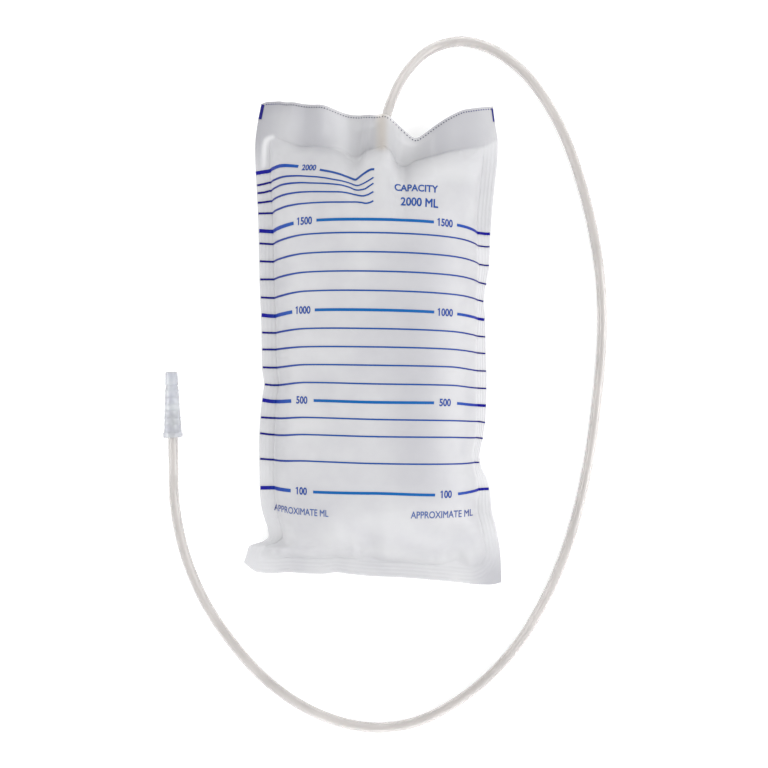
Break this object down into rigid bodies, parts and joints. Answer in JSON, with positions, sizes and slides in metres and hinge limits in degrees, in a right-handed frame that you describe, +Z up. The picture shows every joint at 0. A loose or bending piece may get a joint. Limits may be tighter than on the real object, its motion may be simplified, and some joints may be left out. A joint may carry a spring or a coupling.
{
  "type": "urine drainage bag",
  "caption": "Puffed bag of two welded films with a gathered header, a film non-return valve, an inlet tube laid in a wide loop and a stepped cone connector.",
  "frame": {"origin": "on the floor, under the middle of the bag without its tube and connector", "axes": "+X towards the bag's right as its print is read, +Y towards the header and the tube's seam, +Z up, out of the printed face"},
  "size_m": [0.3019, 0.4746, 0.0482],
  "materials": {
    "clear_film": "soft, finely grained translucent film",
    "white_film": "soft white film",
    "valve_film": "soft translucent film",
    "clear_tube": "glossy clear flexible tube",
    "connector_plastic": "moulded translucent plastic"
  },
  "bodies": {
    "root": {"front_film": "clear_film", "back_film": "white_film", "valve_front_leaf": "valve_film", "valve_back_leaf": "valve_film", "inlet_tube": "clear_tube", "connector": "connector_plastic"}
  },
  "joints": []
}
